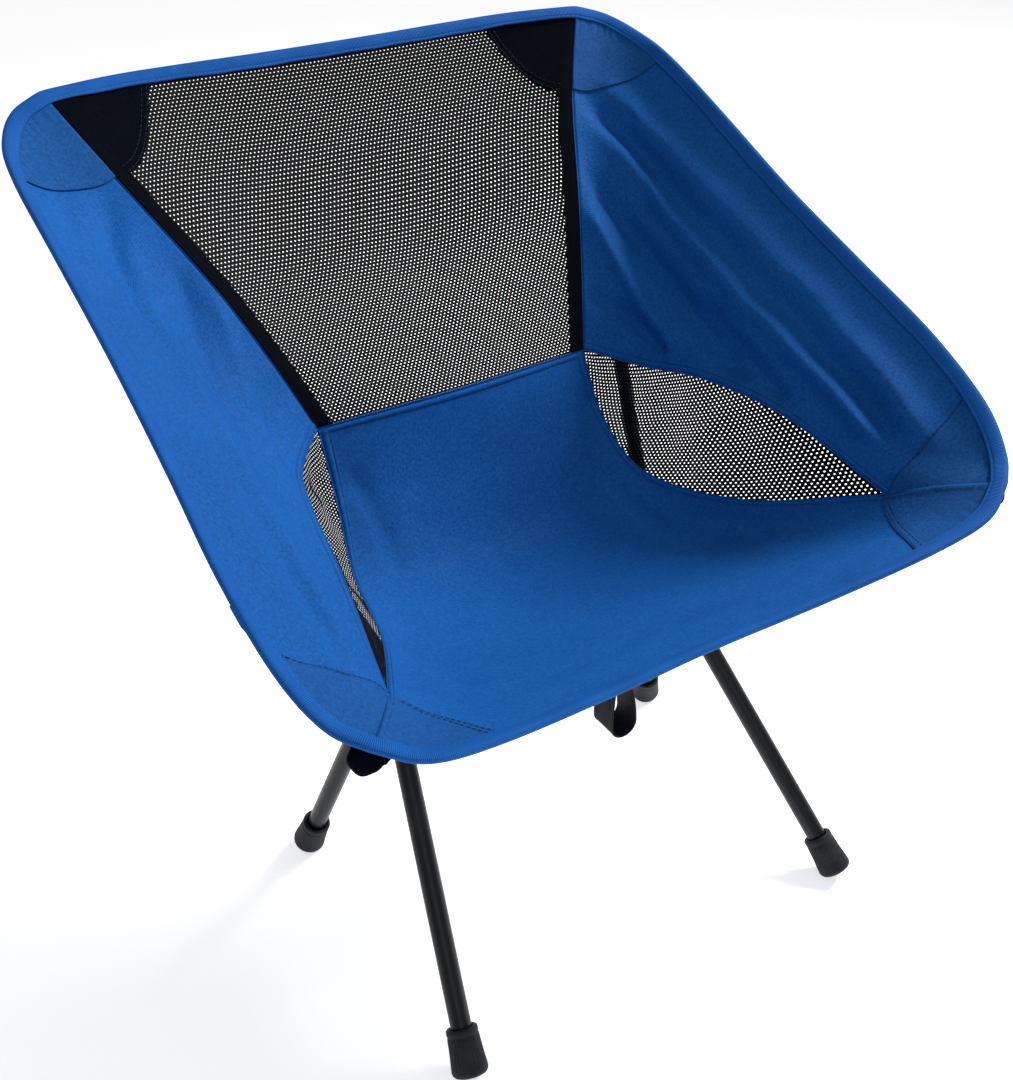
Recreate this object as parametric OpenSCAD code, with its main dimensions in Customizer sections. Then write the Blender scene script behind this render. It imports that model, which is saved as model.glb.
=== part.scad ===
// Ultralight backpacking chair: shock-corded tube frame with a slung seat cover.
// Millimetres. +Z is up, +X is the chair's right wing seen from the front, the front faces -Y.
// The origin is on the ground, under the middle of the chair's overall box.

/* [Frame] */
// Distance of each hub's centre from the middle of the chair
hub_x = 130; // [126:1:134]
// Place of the hubs along Y, a little ahead of the middle
hub_y = -23; // [-28:1:-18]
// Height of the hubs' centres above the ground
hub_z = 241; // [236:1:246]
// Outside diameter of the leg tubes and the cross bar
leg_tube_d = 16; // [15:0.5:16.5]
// Outside diameter of the seat and back poles
pole_tube_d = 12.5; // [11.5:0.5:13]
// Wall thickness of every tube
tube_wall = 1; // [0.8:0.1:1.4]
// Half the distance between the front feet
front_foot_x = 180; // [172:1:188]
// Distance of the front feet ahead of the middle
front_foot_y = 213; // [206:1:220]
// Half the distance between the rear feet
rear_foot_x = 189; // [180:1:196]
// Distance of the rear feet behind the middle
rear_foot_y = 77; // [70:1:84]
// How far a leg can be pulled out of its hub against the shock cord
leg_pull = 30; // [20:1:36]
// How far a back pole is bent away from a straight line
back_pole_bow = 24; // [16:1:30]

/* [Feet] */
// Length of a rubber foot along its leg
foot_len = 35; // [30:1:40]
// Diameter of a foot where the leg enters it
foot_top_d = 23.5; // [22:0.5:25]
// Diameter of a foot at its bottom edge
foot_bottom_d = 28; // [26:0.5:30]
// Radius of a foot's bottom edge
foot_edge_r = 4; // [3:0.5:5]
// Depth of rubber worn flat where a foot meets the ground
foot_worn = 0.6; // [0.4:0.1:1]

/* [Seat cover] */
// Half of the cover's greatest width
wing_x = 276; // [270:1:282]
// Height of the top corners of the cover
top_z = 640; // [630:1:650]
// Distance of the back's top edge behind the middle
top_y = 277; // [267:1:287]
// Distance of the seat's front edge ahead of the middle
front_y = 254; // [248:1:260]
// Height of the seat's front edge at its middle
front_z = 350; // [344:1:356]
// Half the width of the seam between back and seat
lumbar_x = 121; // [118:1:124]
// Distance of that seam's ends behind the middle
lumbar_y = 76; // [72:1:80]
// Height of that seam's ends
lumbar_z = 405; // [400:1:410]
// Thickness of the cloth panels
cloth_t = 1.2; // [1:0.1:1.6]
// How far the seat hangs below its edges
seat_sag = 14; // [8:1:20]
// How far the back mesh hangs behind its edges
back_sag = 22; // [12:1:30]
// Width of the binding tape round the edge
binding_w = 10; // [8:1:14]
// Thickness of the folded binding
binding_t = 3.4; // [3:0.1:4]

/* [Webbing loop] */
// Width of the webbing
loop_w = 24; // [20:1:25]
// Thickness of the webbing
loop_t = 1.6; // [1.4:0.1:2]
// Length of the loop below the seat
loop_len = 94; // [84:1:98]
// Distance of the loop ahead of the middle
loop_y = 143; // [138:1:148]
// Radius of the loop's round end
loop_end_r = 11.5; // [10:0.5:13]

/* [Hidden] */
$fn = 64;

tube_black = "#202225";
moulded_black = "#17181a";
rubber_black = "#1b1c1e";
cloth_blue = "#1a5aa8";
mesh_black = "#1d1f22";
tape_black = "#141518";

leg_r = leg_tube_d / 2;
pole_r = pole_tube_d / 2;
hub = [hub_x, hub_y, hub_z];

// ---- Curves -------------------------------------------------------------------------------

function unit(v) = v / norm(v);
function mirrored(p) = [-p[0], p[1], p[2]];
function joined(a, b) = concat(a, [for (i = [1:len(b) - 1]) b[i]]);
function reversed(list) = [for (i = [len(list) - 1:-1:0]) list[i]];

// A smooth curve through a few points, read at t from 0 to 1.
function spline_span(a, b, c, d, t) =
    0.5 * (2 * b + (c - a) * t + (2 * a - 5 * b + 4 * c - d) * t * t + (3 * b - a - 3 * c + d) * t * t * t);
function spline_at(pts, t) =
    let (
        spans = len(pts) - 1,
        i = min(floor(t * spans), spans - 1),
        before = i > 0 ? pts[i - 1] : 2 * pts[0] - pts[1],
        after = i < spans - 1 ? pts[i + 2] : 2 * pts[spans] - pts[spans - 1]
    )
    spline_span(before, pts[i], pts[i + 1], after, t * spans - i);

// Outlines of the cover's right half. The left half is its mirror image.
top_corner = [232, 245, top_z + 1.5];
front_corner = [238, -266, 393];
lumbar_end = [lumbar_x, lumbar_y, lumbar_z];
vent_tip = [199, -198, 365];

top_half = [
    [0, top_y, top_z - 2], [58, top_y - 1.5, top_z - 1.5], [116, top_y - 6, top_z],
    [174, top_y - 15, top_z + 1.5], top_corner
];
side_edge = [
    top_corner, [256, 232, top_z - 7], [271, 205, top_z - 20], [wing_x, 165, 604], [274, 92, 571],
    [271, 2, 528], [271, -88, 488], [272, -158, 456], [267, -216, 425], [255, -248, 403], front_corner
];
front_half = [
    [0, -front_y, front_z], [85, -front_y - 8, front_z + 6], [165, -front_y - 20, front_z + 19],
    [211, -277, front_z + 30], front_corner
];
back_seam = [lumbar_end, [140, 104, 458], [163, 141, 512], [200, 204, 582], top_corner];
lumbar_half = [[0, lumbar_y - 11, lumbar_z + 4], [60, lumbar_y - 8, lumbar_z + 3], lumbar_end];
vent_low = [lumbar_end, [124, 50, 351], [136, 4, 314], [158, -93, 326], vent_tip];
vent_high = [lumbar_end, [152, 34, 396], [170, -28, 401], [184, -108, 395], vent_tip];
corner_seam = [vent_tip, [215, -230, 381], front_corner];

// Full-width edges, from the left wing to the right wing.
function both_halves(half) = concat([for (i = [len(half) - 1:-1:1]) mirrored(half[i])], half);
top_edge = both_halves(top_half);
front_edge = both_halves(front_half);
lumbar_seam = both_halves(lumbar_half);

// ---- Cloth patches ------------------------------------------------------------------------

// A patch filled in between four edges: u runs along c0 and c1, v runs along d0 and d1.
function filled(c0, c1, d0, d1, u, v) =
    (1 - v) * c0 + v * c1 + (1 - u) * d0 + u * d1;
function corners_mean(p00, p10, p01, p11, u, v) =
    (1 - u) * (1 - v) * p00 + u * (1 - v) * p10 + (1 - u) * v * p01 + u * v * p11;
function belly(u, v) = 16 * u * (1 - u) * v * (1 - v);

back_hang = [0, 0.72, -0.69];
function back_point(u, v) =
    filled(
        spline_at(lumbar_seam, u), spline_at(top_edge, u),
        mirrored(spline_at(back_seam, v)), spline_at(back_seam, v), u, v
    )
    - corners_mean(mirrored(lumbar_end), lumbar_end, mirrored(top_corner), top_corner, u, v)
    + back_hang * back_sag * belly(u, v);

// The seat's side runs down the vent and then up the corner seam.
function seat_side(v) = v < 0.8 ? spline_at(vent_low, v / 0.8) : spline_at(corner_seam, (v - 0.8) / 0.2);
function seat_point(u, v) =
    filled(
        spline_at(lumbar_seam, u), spline_at(front_edge, u),
        mirrored(seat_side(v)), seat_side(v), u, v
    )
    - corners_mean(mirrored(lumbar_end), lumbar_end, mirrored(front_corner), front_corner, u, v)
    + [0, 0, -seat_sag * belly(u, v)];

wing_hang = [0.45, -0.1, -0.6];
wing_sag = 5;
function side_point(u, v) =
    filled(
        spline_at(vent_high, u), spline_at(side_edge, u),
        spline_at(back_seam, v), spline_at(corner_seam, v), u, v
    )
    - corners_mean(lumbar_end, vent_tip, top_corner, front_corner, u, v)
    + wing_hang * wing_sag * belly(u, v);

vent_hang = [0.7, 0, -0.6];
vent_sag = 6;
function vent_point(u, v) =
    (1 - v) * spline_at(vent_low, u) + v * spline_at(vent_high, u) + vent_hang * vent_sag * belly(u, v);

function between(a, b, t) = a + (b - a) * t;
function fractions(n, from, to) = [for (i = [0:n]) between(from, to, i / n)];

function grid_normal(g, i, j) =
    let (
        rows = len(g) - 1,
        cols = len(g[0]) - 1,
        du = g[min(i + 1, rows)][j] - g[max(i - 1, 0)][j],
        dv = g[i][min(j + 1, cols)] - g[i][max(j - 1, 0)]
    )
    unit(cross(du, dv));

// A closed sheet of cloth on a grid of points, from "low" to "high" along its normals.
module cloth(grid, low, high) {
    rows = len(grid);
    cols = len(grid[0]);
    count = rows * cols;
    function layer(offset) = [
        for (i = [0:rows - 1], j = [0:cols - 1]) grid[i][j] + grid_normal(grid, i, j) * offset
    ];
    function top(i, j) = i * cols + j;
    function low_at(i, j) = count + i * cols + j;
    quads = [
        for (i = [0:rows - 2], j = [0:cols - 2])
            each [
                [top(i, j), top(i, j + 1), top(i + 1, j + 1), top(i + 1, j)],
                [low_at(i, j), low_at(i + 1, j), low_at(i + 1, j + 1), low_at(i, j + 1)]
            ],
        for (j = [0:cols - 2])
            each [
                [top(0, j), low_at(0, j), low_at(0, j + 1), top(0, j + 1)],
                [top(rows - 1, j), top(rows - 1, j + 1), low_at(rows - 1, j + 1), low_at(rows - 1, j)]
            ],
        for (i = [0:rows - 2])
            each [
                [top(i, 0), top(i + 1, 0), low_at(i + 1, 0), low_at(i, 0)],
                [top(i, cols - 1), low_at(i, cols - 1), low_at(i + 1, cols - 1), top(i + 1, cols - 1)]
            ]
    ];
    triangles = [for (q = quads) each [[q[0], q[1], q[2]], [q[0], q[2], q[3]]]];
    polyhedron(points = concat(layer(high), layer(low)), faces = triangles, convexity = 8);
}

// ---- Placing tubes ------------------------------------------------------------------------

// Puts the children's +Z axis along "direction", starting at "origin".
module along(origin, direction) {
    d = unit(direction);
    translate(origin)
        rotate([0, acos(d[2]), atan2(d[1], d[0])])
            children();
}

module tube(r, length, wall = tube_wall) {
    difference() {
        cylinder(r = r, h = length);
        translate([0, 0, -1])
            cylinder(r = r - wall, h = length + 2);
    }
}

module left_copy(side) {
    if (side == "left")
        mirror([1, 0, 0]) children();
    else
        children();
}

// ---- Legs and feet ------------------------------------------------------------------------

// Height of a foot's bottom centre, so that its low edge is worn flat on the ground.
function foot_tilt(x, y) = atan2(norm([x - hub_x, y - hub_y]), hub_z);
function foot_base_z(tilt) =
    (foot_bottom_d / 2 - foot_edge_r) * sin(tilt) - foot_edge_r * cos(tilt) + foot_edge_r - foot_worn;
function foot_base(x, y) = [x, y, foot_base_z(foot_tilt(x, y))];

front_foot = foot_base(front_foot_x, -front_foot_y);
rear_foot = foot_base(rear_foot_x, rear_foot_y);
socket_stop = 20;
socket_mouth = 62;
leg_gap = 0.3;
foot_floor = 6;
plug_len = 18;
cord_r = 1.5;

module leg_tube(foot) {
    leg_len = norm(foot - hub);
    color(tube_black)
        along(hub, foot - hub)
            translate([0, 0, socket_stop + leg_gap])
                tube(leg_r, leg_len - foot_floor - socket_stop - leg_gap);
}

module leg_plug(foot) {
    color(moulded_black)
        along(hub, foot - hub)
            translate([0, 0, socket_stop + leg_gap])
                tube(leg_r - tube_wall, plug_len, leg_r - tube_wall - cord_r - 0.3);
}

module shock_cord(foot) {
    leg_len = norm(foot - hub);
    color("#3a3a3a")
        along(hub, foot - hub)
            translate([0, 0, socket_stop + leg_gap])
                cylinder(r = cord_r, h = leg_len - foot_floor - socket_stop - leg_gap);
}

// A flared rubber cap with a rounded bottom edge and a slightly hollow top rim.
module foot_profile() {
    top_r = foot_top_d / 2;
    bottom_r = foot_bottom_d / 2;
    rim = 1.2;
    union() {
        polygon([
            [0, 0], [bottom_r - foot_edge_r, 0], [bottom_r, foot_edge_r], [top_r + 0.4, foot_len - 5],
            [top_r, foot_len - rim], [top_r - rim, foot_len], [0, foot_len]
        ]);
        intersection() {
            translate([bottom_r - foot_edge_r, foot_edge_r]) circle(r = foot_edge_r);
            square([bottom_r, foot_edge_r]);
        }
    }
}

module rubber_foot(foot) {
    color(rubber_black)
        intersection() {
            along(foot, hub - foot)
                difference() {
                    rotate_extrude()
                        foot_profile();
                    translate([0, 0, foot_floor])
                        cylinder(r = leg_r, h = foot_len);
                }
            translate([-400, -400, 0])
                cube([800, 800, 100]);
        }
}

// ---- Hubs and cross bar -------------------------------------------------------------------

front_pole_end = [237, -252, 378];
back_pole_end = [253, 228, top_z - 38];
back_chord = back_pole_end - hub;
back_chord_len = norm(back_chord);
bow_radius = (back_chord_len * back_chord_len / 4 + back_pole_bow * back_pole_bow) / (2 * back_pole_bow);
bow_half_angle = asin(back_chord_len / 2 / bow_radius);
bow_x = unit(back_chord);
bow_y = unit([0, 1, 0] - bow_x * bow_x[1]);
bow_middle = hub + back_chord / 2 - bow_y * (bow_radius - back_pole_bow);

// A point on the bent pole's axis, as a fraction of its way from hub to tip.
function bow_point(part) =
    let (angle = 90 + bow_half_angle * (1 - 2 * part))
    bow_middle + bow_radius * (bow_x * cos(angle) + bow_y * sin(angle));

bar_r = leg_r;
pole_stop = 18;
pole_mouth = 58;
leg_socket_r = leg_r + 3.4;
pole_socket_r = pole_r + 3.4;
slide_gap = 0.1;
hub_core_r = 21;
hub_core_half = 17;
boss_len = 40;
boss_r = bar_r + 4;
pin_x = hub_x - 32;
pin_r = 2;
bend_gap = 0.25;
back_root = bow_point(pole_stop / back_chord_len);
back_root_direction = bow_point(pole_mouth / back_chord_len) - back_root;

module hub_core_profile() {
    bevel = 4;
    polygon([
        [0, -hub_core_half], [hub_core_r - bevel, -hub_core_half], [hub_core_r, -hub_core_half + bevel],
        [hub_core_r, hub_core_half - bevel], [hub_core_r - bevel, hub_core_half], [0, hub_core_half]
    ]);
}

module socket(origin, direction, r, mouth) {
    collar = 6;
    along(origin, direction) {
        cylinder(r = r, h = mouth);
        translate([0, 0, mouth - collar])
            cylinder(r = r + 1.4, h = collar);
    }
}

module socket_bore(origin, direction, r, stop) {
    along(origin, direction)
        translate([0, 0, stop])
            cylinder(r = r, h = 80);
}

module pin_hole(r, length) {
    translate([pin_x, hub_y, hub_z - length / 2])
        cylinder(r = r, h = length);
}

module hub_block(side) {
    color(moulded_black)
        left_copy(side)
            difference() {
                union() {
                    translate(hub)
                        rotate([0, 90, 0])
                            rotate_extrude()
                                hub_core_profile();
                    translate([hub_x - boss_len, hub_y, hub_z])
                        rotate([0, 90, 0])
                            cylinder(r = boss_r, h = boss_len);
                    socket(hub, front_foot - hub, leg_socket_r, socket_mouth);
                    socket(hub, rear_foot - hub, leg_socket_r, socket_mouth);
                    socket(hub, front_pole_end - hub, pole_socket_r, pole_mouth);
                    socket(back_root, back_root_direction, pole_socket_r, pole_mouth - pole_stop);
                }
                translate([hub_x - boss_len - 1, hub_y, hub_z])
                    rotate([0, 90, 0])
                        cylinder(r = bar_r, h = boss_len - pole_stop + 9);
                socket_bore(hub, front_foot - hub, leg_r + slide_gap, socket_stop);
                socket_bore(hub, rear_foot - hub, leg_r + slide_gap, socket_stop);
                socket_bore(hub, front_pole_end - hub, pole_r, pole_stop);
                socket_bore(back_root, back_root_direction, pole_r + bend_gap, 0);
                pin_hole(pin_r, 40);
            }
}

module cross_bar() {
    bar_half = hub_x - pole_stop + 8;
    color(tube_black)
        difference() {
            translate([-bar_half, hub_y, hub_z])
                rotate([0, 90, 0])
                    tube(bar_r, 2 * bar_half);
            pin_hole(pin_r, 40);
            mirror([1, 0, 0]) pin_hole(pin_r, 40);
        }
}

module hub_pin(side) {
    head_h = 1.6;
    head_r = 3.6;
    shank = 2 * boss_r;
    color("#8d9094")
        left_copy(side) {
            pin_hole(pin_r, shank);
            translate([pin_x, hub_y, hub_z + boss_r - 0.4]) cylinder(r = head_r, h = head_h);
            translate([pin_x, hub_y, hub_z - boss_r + 0.4 - head_h]) cylinder(r = head_r, h = head_h);
        }
}

// ---- Poles --------------------------------------------------------------------------------

tip_neck = 14;
tip_r = 7.4;
tip_nose = 9;

module front_pole(side) {
    pole_len = norm(front_pole_end - hub);
    color(tube_black)
        left_copy(side)
            along(hub, front_pole_end - hub)
                translate([0, 0, pole_stop])
                    tube(pole_r, pole_len - pole_stop);
}

// A plug in the end of a tube, with a round nose that seats in the cover's sleeve.
module pole_tip_at(origin, direction) {
    along(origin, direction) {
        translate([0, 0, -tip_neck])
            cylinder(r = pole_r - tube_wall, h = tip_neck);
        rotate_extrude()
            intersection() {
                translate([0, tip_nose - tip_r]) circle(r = tip_r);
                square([tip_r, tip_nose]);
            }
        cylinder(r = tip_r, h = tip_nose - tip_r);
    }
}

module front_pole_tip(side) {
    color(moulded_black)
        left_copy(side)
            pole_tip_at(front_pole_end, front_pole_end - hub);
}

// Turns the children so that their arc about the origin becomes the bent back pole.
module back_pole_frame() {
    bow_z = cross(bow_x, bow_y);
    multmatrix([
        [bow_x[0], bow_y[0], bow_z[0], bow_middle[0]],
        [bow_x[1], bow_y[1], bow_z[1], bow_middle[1]],
        [bow_x[2], bow_y[2], bow_z[2], bow_middle[2]]
    ])
        children();
}

// A stretch of the bent pole, as fractions of its way from hub to tip.
module bow_arc(from, to, r_out, r_in) {
    start = 90 + bow_half_angle * (1 - 2 * to);
    sweep = 2 * bow_half_angle * (to - from);
    back_pole_frame()
        rotate([0, 0, start])
            rotate_extrude(angle = sweep, $fn = 720)
                translate([bow_radius, 0])
                    difference() {
                        circle(r = r_out, $fn = 32);
                        if (r_in > 0) circle(r = r_in, $fn = 32);
                    }
}

back_joint = 0.5;
root_fraction = pole_stop / back_chord_len;
ferrule_half = 0.06;

module back_pole_lower(side) {
    color(tube_black)
        left_copy(side)
            bow_arc(root_fraction, back_joint, pole_r, pole_r - tube_wall);
}

module back_pole_upper(side) {
    color(tube_black)
        left_copy(side)
            bow_arc(back_joint, 1, pole_r, pole_r - tube_wall);
}

module back_pole_ferrule(side) {
    color("#b9bcc0")
        left_copy(side)
            bow_arc(back_joint - ferrule_half, back_joint + ferrule_half, pole_r - tube_wall, pole_r - 2 * tube_wall);
}

back_tip_direction = bow_x * cos(bow_half_angle) - bow_y * sin(bow_half_angle);

module back_pole_tip(side) {
    color(moulded_black)
        left_copy(side)
            pole_tip_at(back_pole_end, back_tip_direction);
}

// ---- Seat cover ---------------------------------------------------------------------------

module back_mesh() {
    grid = [for (u = fractions(16, 0, 1)) [for (v = fractions(14, 0, 1)) back_point(u, v)]];
    color(mesh_black)
        cloth(grid, -cloth_t / 2, cloth_t / 2);
}

module seat_panel() {
    grid = [for (u = fractions(18, 0, 1)) [for (v = fractions(20, 0, 1)) seat_point(u, v)]];
    color(cloth_blue)
        cloth(grid, -cloth_t / 2, cloth_t / 2);
}

module side_panel(side) {
    grid = [for (u = fractions(24, 0, 1)) [for (v = fractions(8, 0, 1)) side_point(u, v)]];
    color(cloth_blue)
        left_copy(side)
            cloth(grid, -cloth_t / 2, cloth_t / 2);
}

module vent_mesh(side) {
    grid = [for (u = fractions(16, 0.03, 0.97)) [for (v = fractions(5, 0, 1)) vent_point(u, v)]];
    color(mesh_black)
        left_copy(side)
            cloth(grid, -cloth_t / 2, cloth_t / 2);
}

// The closed edge of the cover: right wing, front, left wing and top.
right_edge = [for (t = fractions(26, 0, 1)) spline_at(side_edge, t)];
whole_edge = joined(
    right_edge,
    joined(
        [for (t = fractions(20, 0, 1)) spline_at(front_edge, 1 - t)],
        joined(
            reversed([for (p = right_edge) mirrored(p)]),
            [for (t = fractions(16, 0, 15 / 16)) spline_at(top_edge, t)]
        )
    )
);
cover_middle = [0, -28, 250];

module edge_binding() {
    n = len(whole_edge);
    half_t = binding_t / 2;
    section = [
        [-1.5, -half_t * 0.5], [0, -half_t], [binding_w - 2, -half_t], [binding_w - 1.5, 0],
        [binding_w - 2, half_t], [0, half_t], [-1.5, half_t * 0.5]
    ];
    sides = len(section);
    rings = [
        for (k = [0:n - 1])
            let (
                travel = unit(whole_edge[(k + 1) % n] - whole_edge[(k + n - 1) % n]),
                inward_raw = cover_middle - whole_edge[k],
                inward = unit(inward_raw - travel * (inward_raw * travel)),
                up = cross(travel, inward)
            )
            for (s = section) whole_edge[k] + inward * s[0] + up * s[1]
    ];
    quads = [
        for (k = [0:n - 1], m = [0:sides - 1])
            [
                k * sides + m, ((k + 1) % n) * sides + m,
                ((k + 1) % n) * sides + (m + 1) % sides, k * sides + (m + 1) % sides
            ]
    ];
    triangles = [for (q = quads) each [[q[0], q[1], q[2]], [q[0], q[2], q[3]]]];
    color(cloth_blue)
        polyhedron(points = rings, faces = triangles, convexity = 10);
}

patch_low = cloth_t / 2;
patch_high = cloth_t / 2 + 0.7;

// Black corner patch on the mesh, with a hollow-curved inner edge.
module corner_patch(side) {
    width = 0.173;
    foot_v = 0.745;
    grid = [
        for (r = fractions(8, 0, 1)) [
            for (s = fractions(6, 0, 1))
                back_point(1 - between(width * pow(r, 0.55) + 0.012, 0, s), between(foot_v, 0.985, r))
        ]
    ];
    color(tape_black)
        left_copy(side)
            cloth(grid, patch_low, patch_high);
}

// Blue pocket across the top corner of the wing.
module top_pocket(side) {
    reach = 0.27;
    foot_v = 0.755;
    grid = [
        for (s = fractions(8, 0, 0.95)) [
            for (r = fractions(6, 0, 1))
                side_point(s * reach, between(between(foot_v, 0.97, pow(s, 2.2)), 0.985, r))
        ]
    ];
    color(cloth_blue)
        left_copy(side)
            cloth(grid, patch_low, patch_high);
}

// Blue pocket round the front corner: one leaf on the wing and one on the seat.
module front_pocket(side) {
    wing_reach = 0.22;
    seat_reach = 0.27;
    wing_grid = [
        for (s = fractions(6, 0, 1)) [
            for (r = fractions(8, 0.04, 0.97)) side_point(1 - between(wing_reach * pow(r, 0.8), 0, s), r)
        ]
    ];
    seat_grid = [
        for (s = fractions(6, 0, 1)) [
            for (r = fractions(8, 0.04, 0.97))
                seat_point(1 - between(seat_reach * sqrt(r), 0, s), between(0.8, 1, r))
        ]
    ];
    color(cloth_blue)
        left_copy(side) {
            cloth(wing_grid, patch_low, patch_high);
            cloth(seat_grid, -patch_high, -patch_low);
        }
}

module side_seam_tape(side) {
    width = 0.028;
    grid = [
        for (u = fractions(2, 1 - width, 1)) [for (v = fractions(16, 0.01, 0.72)) back_point(u, v)]
    ];
    color(tape_black)
        left_copy(side)
            cloth(grid, patch_low, patch_high);
}

module lumbar_seam_tape() {
    width = 0.03;
    grid = [for (u = fractions(14, 0.06, 0.94)) [for (v = fractions(2, 0, width)) back_point(u, v)]];
    color(tape_black)
        cloth(grid, -patch_high, -patch_low);
}

// Black pouches that hold the pole tips under the front corners and behind the top corners.
// Each has a round blind pocket for the tip and a flap that is sewn to the cover.
module pole_sleeve(tip, direction, sewn_point) {
    along_pole = unit(direction);
    depth = 34;
    mouth = tip - along_pole * depth;
    wall = 1.9;
    outer_r = tip_r + 0.3 + wall;
    difference() {
        hull() {
            along(mouth, direction) cylinder(r = outer_r, h = depth + tip_nose + 0.6, $fn = 32);
            along(tip, direction) cylinder(r = outer_r - 4, h = tip_nose + 3, $fn = 32);
            translate(sewn_point) sphere(r = 3, $fn = 32);
        }
        along(mouth, direction)
            translate([0, 0, -1])
                cylinder(r = tip_r + 0.3, h = depth + tip_nose + 1.3);
    }
}

module front_pole_sleeve(side) {
    color(tape_black)
        left_copy(side)
            pole_sleeve(front_pole_end, front_pole_end - hub, [225, -239, 382]);
}

module back_pole_sleeve(side) {
    color(tape_black)
        left_copy(side)
            pole_sleeve(back_pole_end, back_tip_direction, [237.5, 211, 597]);
}

// ---- Webbing loop -------------------------------------------------------------------------

loop_pivot = [0, -loop_y, 297.5];
swing_gap = 0.4;

// Folded webbing ends sewn to the seat's underside, cut level where the loop swings.
module loop_tab() {
    grid = [for (u = fractions(4, 0.465, 0.535)) [for (v = fractions(6, 0.66, 0.84)) seat_point(u, v)]];
    color(tape_black)
        intersection() {
            cloth(grid, cloth_t / 2, 16);
            translate(loop_pivot + [-12, -loop_w / 2, loop_t + swing_gap])
                cube([24, loop_w, 30]);
        }
}

module loop_outline(grow) {
    hull() {
        circle(r = loop_t + grow, $fn = 32);
        translate([0, -loop_len + loop_end_r]) circle(r = loop_end_r + grow);
    }
}

module webbing_loop() {
    color(tape_black)
        translate(loop_pivot + [0, loop_w / 2, 0])
            rotate([90, 0, 0])
                linear_extrude(height = loop_w)
                    difference() {
                        loop_outline(0);
                        hull() {
                            translate([0, -10]) circle(r = 0.4, $fn = 32);
                            translate([0, -loop_len + loop_end_r]) circle(r = loop_end_r - loop_t);
                        }
                    }
}

// ---- Nodes --------------------------------------------------------------------------------

hub_block("left");  // hub_left
hub_block("right");  // hub_right
cross_bar();
hub_pin("left");  // hub_pin_left
hub_pin("right");  // hub_pin_right
left_copy("left") leg_tube(front_foot);  // leg_front_left
leg_tube(front_foot);  // leg_front_right
left_copy("left") leg_tube(rear_foot);  // leg_rear_left
leg_tube(rear_foot);  // leg_rear_right
left_copy("left") rubber_foot(front_foot);  // foot_front_left
rubber_foot(front_foot);  // foot_front_right
left_copy("left") rubber_foot(rear_foot);  // foot_rear_left
rubber_foot(rear_foot);  // foot_rear_right
left_copy("left") leg_plug(front_foot);  // leg_plug_front_left
leg_plug(front_foot);  // leg_plug_front_right
left_copy("left") leg_plug(rear_foot);  // leg_plug_rear_left
leg_plug(rear_foot);  // leg_plug_rear_right
left_copy("left") shock_cord(front_foot);  // shock_cord_front_left
shock_cord(front_foot);  // shock_cord_front_right
left_copy("left") shock_cord(rear_foot);  // shock_cord_rear_left
shock_cord(rear_foot);  // shock_cord_rear_right
front_pole("left");  // front_pole_left
front_pole("right");  // front_pole_right
front_pole_tip("left");  // front_pole_tip_left
front_pole_tip("right");  // front_pole_tip_right
back_pole_lower("left");  // back_pole_lower_left
back_pole_lower("right");  // back_pole_lower_right
back_pole_upper("left");  // back_pole_upper_left
back_pole_upper("right");  // back_pole_upper_right
back_pole_ferrule("left");  // back_pole_ferrule_left
back_pole_ferrule("right");  // back_pole_ferrule_right
back_pole_tip("left");  // back_pole_tip_left
back_pole_tip("right");  // back_pole_tip_right
back_mesh();
seat_panel();
side_panel("left");  // side_panel_left
side_panel("right");  // side_panel_right
vent_mesh("left");  // vent_mesh_left
vent_mesh("right");  // vent_mesh_right
edge_binding();
corner_patch("left");  // corner_patch_left
corner_patch("right");  // corner_patch_right
top_pocket("left");  // top_pocket_left
top_pocket("right");  // top_pocket_right
front_pocket("left");  // front_pocket_left
front_pocket("right");  // front_pocket_right
side_seam_tape("left");  // side_seam_tape_left
side_seam_tape("right");  // side_seam_tape_right
lumbar_seam_tape();
front_pole_sleeve("left");  // front_pole_sleeve_left
front_pole_sleeve("right");  // front_pole_sleeve_right
back_pole_sleeve("left");  // back_pole_sleeve_left
back_pole_sleeve("right");  // back_pole_sleeve_right
loop_tab();
webbing_loop();
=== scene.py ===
"""Looks for an ultralight backpacking chair: a seat cover of blue cloth and black netting on a tube frame.

Metres throughout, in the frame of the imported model: +X to the right wing, the front faces -Y, +Z up.
"""

import math

import bpy
import numpy as np
from mathutils import Matrix, Vector


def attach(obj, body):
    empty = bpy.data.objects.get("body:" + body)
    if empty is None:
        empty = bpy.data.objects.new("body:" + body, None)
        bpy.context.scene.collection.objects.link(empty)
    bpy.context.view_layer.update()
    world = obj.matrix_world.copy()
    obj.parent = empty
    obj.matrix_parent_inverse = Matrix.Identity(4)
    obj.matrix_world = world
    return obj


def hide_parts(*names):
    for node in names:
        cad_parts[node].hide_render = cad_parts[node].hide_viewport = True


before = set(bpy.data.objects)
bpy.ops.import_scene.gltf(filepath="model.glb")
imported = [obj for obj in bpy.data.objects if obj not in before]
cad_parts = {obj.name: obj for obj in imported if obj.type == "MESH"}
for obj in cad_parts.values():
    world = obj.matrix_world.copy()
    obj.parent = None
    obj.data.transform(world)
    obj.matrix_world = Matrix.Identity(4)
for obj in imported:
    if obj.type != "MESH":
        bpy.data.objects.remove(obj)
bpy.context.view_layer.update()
MM = 0.001
SIDES = ("left", "right")

# ---- Shape of the cover ----------------------------------------------------------------------------
# The same edge curves as the CAD panels: the right half, in millimetres.

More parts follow.
